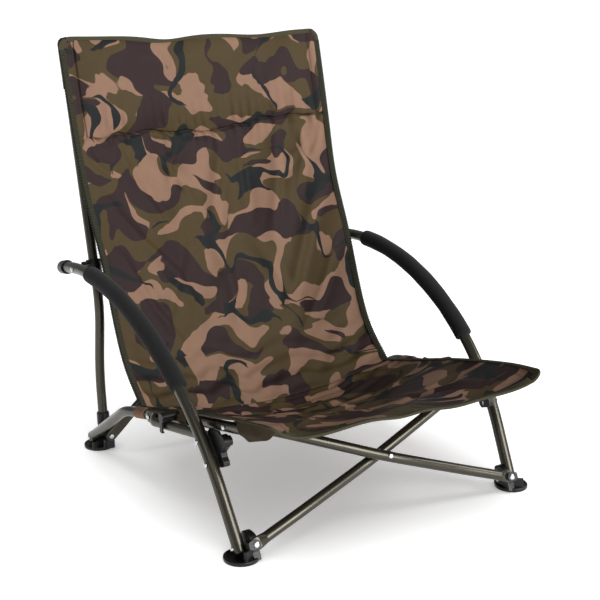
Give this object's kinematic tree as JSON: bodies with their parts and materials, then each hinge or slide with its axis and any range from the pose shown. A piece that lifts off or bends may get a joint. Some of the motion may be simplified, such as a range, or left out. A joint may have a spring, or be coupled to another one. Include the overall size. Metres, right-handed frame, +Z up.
{
  "type": "folding fishing chair",
  "caption": "Low folding fishing chair: bent arm legs and uprights joined by crossed tubes that fold into a bundle, with round feet, soft arm grips and a fabric sling seat and back.",
  "frame": {"origin": "on the ground under the middle of the chair", "axes": "+X to the right as seen from the front, -Y to the front, +Z up"},
  "size_m": [0.671, 0.8238, 0.8137],
  "materials": {
    "tube": "satin bronze-grey powder coat",
    "moulding": "black moulded nylon",
    "foam": "closed-cell foam grip",
    "rivet": "plated steel",
    "print_cloth": "printed woven polyester",
    "plain_cloth": "plain woven polyester"
  },
  "bodies": {
    "rear_foot_left": {"rear_foot_left": "moulding", "rivet_rail_foot_left": "rivet", "rivet_rear_tube_left": "rivet"},
    "rear_tube_left": {"rear_tube_left": "tube"},
    "rear_tube_right": {"rear_tube_right": "tube", "rivet_rear_cross": "rivet"},
    "rear_foot_right": {"rear_foot_right": "moulding", "rivet_rail_foot_right": "rivet", "rivet_rear_tube_right": "rivet"},
    "upright_left": {"upright_left": "tube", "upright_sleeve_left": "moulding"},
    "slider_pin_left": {"rivet_slider_left": "rivet"},
    "slider_left": {"slider_left": "moulding", "rivet_arm_left": "rivet"},
    "leg_left": {"leg_left": "tube", "arm_foam_left": "foam", "arm_cap_left": "moulding", "leg_bracket_left": "moulding", "rivet_foot_left": "rivet", "rivet_link_leg_left": "rivet"},
    "front_foot_left": {"front_foot_left": "moulding", "rivet_front_tube_left": "rivet"},
    "front_tube_left": {"front_tube_left": "tube", "knuckle_left": "moulding"},
    "rail_left": {"side_rail_left": "tube", "rail_clip_left": "moulding", "rivet_rail_front_left": "rivet", "rail_loop_1_left": "print_cloth", "rail_loop_2_left": "print_cloth", "corner_pocket_left": "plain_cloth"},
    "link_left": {"side_link_left": "tube", "rivet_link_rail_left": "rivet"},
    "upright_right": {"upright_right": "tube", "upright_sleeve_right": "moulding"},
    "slider_pin_right": {"rivet_slider_right": "rivet"},
    "slider_right": {"slider_right": "moulding", "rivet_arm_right": "rivet"},
    "leg_right": {"leg_right": "tube", "arm_foam_right": "foam", "arm_cap_right": "moulding", "leg_bracket_right": "moulding", "rivet_foot_right": "rivet", "rivet_link_leg_right": "rivet"},
    "front_foot_right": {"front_foot_right": "moulding", "rivet_front_tube_right": "rivet"},
    "front_tube_right": {"front_tube_right": "tube", "knuckle_right": "moulding", "rivet_front_cross": "rivet"},
    "rail_right": {"side_rail_right": "tube", "rail_clip_right": "moulding", "rivet_rail_front_right": "rivet", "rail_loop_1_right": "print_cloth", "rail_loop_2_right": "print_cloth", "corner_pocket_right": "plain_cloth"},
    "link_right": {"side_link_right": "tube", "rivet_link_rail_right": "rivet"},
    "back_sling": {"sling_back": "print_cloth", "headrest_pad": "print_cloth"},
    "seat_sling": {"sling_seat": "print_cloth"}
  },
  "joints": [
    {"name": "fold", "type": "hinge", "parent": "rear_foot_left", "child": "rear_tube_left", "pos_m": [-0.279, 0.24237, 0.031], "axis": [0, -1, 0], "range_deg": [0, 48.35]},
    {"name": "rear_cross", "type": "hinge", "parent": "rear_tube_left", "child": "rear_tube_right", "pos_m": [0, 0.24237, 0.19348], "axis": [0, -1, 0], "range_deg": [-96.71, 0]},
    {"name": "rear_foot_right_pin", "type": "hinge", "parent": "rear_tube_right", "child": "rear_foot_right", "pos_m": [0.279, 0.24237, 0.031], "axis": [0, -1, 0], "range_deg": [0, 48.36]},
    {"name": "slider_left_turn", "type": "hinge", "parent": "rear_tube_right", "child": "slider_pin_left", "pos_m": [-0.279, 0.24237, 0.35596], "axis": [0, -1, 0], "range_deg": [0, 48.36]},
    {"name": "slider_left_tilt", "type": "hinge", "parent": "slider_pin_left", "child": "slider_left", "pos_m": [-0.279, 0.24237, 0.35596], "axis": [1, 0, 0], "range_deg": [0, 7.32]},
    {"name": "slider_left_slide", "type": "slide", "parent": "slider_left", "child": "upright_left", "axis": [0, -0.2541, -0.9672], "range_m": [0, 0.31647]},
    {"name": "arm_left_pin", "type": "hinge", "parent": "slider_left", "child": "leg_left", "pos_m": [-0.318, 0.28485, 0.37396], "axis": [1, 0, 0], "range_deg": [0, 38.83]},
    {"name": "front_foot_left_pin", "type": "hinge", "parent": "leg_left", "child": "front_foot_left", "pos_m": [-0.291, -0.31063, 0.017], "axis": [1, 0, 0], "range_deg": [-22.31, 0]},
    {"name": "front_tube_left_pin", "type": "hinge", "parent": "front_foot_left", "child": "front_tube_left", "pos_m": [-0.273, -0.33563, 0.028], "axis": [0, -0.9119, 0.4104], "range_deg": [0, 59.68]},
    {"name": "link_left_pin", "type": "hinge", "parent": "leg_left", "child": "link_left", "pos_m": [-0.284, -0.21063, 0.175], "axis": [1, 0, 0], "range_deg": [0, 7.95]},
    {"name": "rail_left_pin", "type": "hinge", "parent": "rear_foot_left", "child": "rail_left", "pos_m": [-0.307, 0.28537, 0.019], "axis": [1, 0, 0], "range_deg": [-51.87, 0]},
    {"name": "slider_right_turn", "type": "hinge", "parent": "rear_tube_left", "child": "slider_pin_right", "pos_m": [0.279, 0.24237, 0.35596], "axis": [0, -1, 0], "range_deg": [-48.36, 0]},
    {"name": "slider_right_tilt", "type": "hinge", "parent": "slider_pin_right", "child": "slider_right", "pos_m": [0.279, 0.24237, 0.35596], "axis": [1, 0, 0], "range_deg": [0, 7.32]},
    {"name": "slider_right_slide", "type": "slide", "parent": "slider_right", "child": "upright_right", "axis": [0, -0.2541, -0.9672], "range_m": [0, 0.31647]},
    {"name": "arm_right_pin", "type": "hinge", "parent": "slider_right", "child": "leg_right", "pos_m": [0.318, 0.28485, 0.37396], "axis": [1, 0, 0], "range_deg": [0, 38.83]},
    {"name": "front_foot_right_pin", "type": "hinge", "parent": "leg_right", "child": "front_foot_right", "pos_m": [0.291, -0.31063, 0.017], "axis": [1, 0, 0], "range_deg": [-22.31, 0]},
    {"name": "front_tube_right_pin", "type": "hinge", "parent": "front_foot_right", "child": "front_tube_right", "pos_m": [0.273, -0.33563, 0.028], "axis": [0, 0.9119, -0.4104], "range_deg": [0, 59.68]},
    {"name": "link_right_pin", "type": "hinge", "parent": "leg_right", "child": "link_right", "pos_m": [0.284, -0.21063, 0.175], "axis": [1, 0, 0], "range_deg": [0, 7.95]},
    {"name": "rail_right_pin", "type": "hinge", "parent": "rear_foot_right", "child": "rail_right", "pos_m": [0.307, 0.28537, 0.019], "axis": [1, 0, 0], "range_deg": [-51.87, 0]},
    {"name": "back_sling_hang", "type": "hinge", "parent": "upright_left", "child": "back_sling", "pos_m": [-0.283, 0.38837, 0.77], "axis": [1, 0, 0], "range_deg": [0, 16], "deforming": ["sling_back", "headrest_pad"]},
    {"name": "seat_sling_fold", "type": "hinge", "parent": "back_sling", "child": "seat_sling", "pos_m": [-0.283, 0.07737, 0.1535], "axis": [1, 0, 0], "range_deg": [-94.3, 0], "deforming": ["sling_seat"]}
  ],
  "couplings": [
    {"joint": "rear_cross", "follows": "fold", "ratio": -2},
    {"joint": "rear_foot_right_pin", "follows": "fold", "ratio": 1},
    {"joint": "slider_left_turn", "follows": "fold", "ratio": 1},
    {"joint": "slider_left_tilt", "follows": "fold", "ratio": 0.15122},
    {"joint": "slider_left_slide", "follows": "fold", "m_per_rad": 0.37501},
    {"joint": "arm_left_pin", "follows": "fold", "ratio": 0.80289},
    {"joint": "front_foot_left_pin", "follows": "fold", "ratio": -0.46136},
    {"joint": "front_tube_left_pin", "follows": "fold", "ratio": 1.2342},
    {"joint": "link_left_pin", "follows": "fold", "ratio": 0.16437},
    {"joint": "rail_left_pin", "follows": "fold", "ratio": -1.0727},
    {"joint": "slider_right_turn", "follows": "fold", "ratio": -1},
    {"joint": "slider_right_tilt", "follows": "fold", "ratio": 0.15122},
    {"joint": "slider_right_slide", "follows": "fold", "m_per_rad": 0.37501},
    {"joint": "arm_right_pin", "follows": "fold", "ratio": 0.80289},
    {"joint": "front_foot_right_pin", "follows": "fold", "ratio": -0.46136},
    {"joint": "front_tube_right_pin", "follows": "fold", "ratio": 1.2342},
    {"joint": "link_right_pin", "follows": "fold", "ratio": 0.16437},
    {"joint": "rail_right_pin", "follows": "fold", "ratio": -1.0727},
    {"joint": "back_sling_hang", "follows": "fold", "ratio": 0.33091},
    {"joint": "seat_sling_fold", "follows": "fold", "ratio": -1.9503}
  ]
}
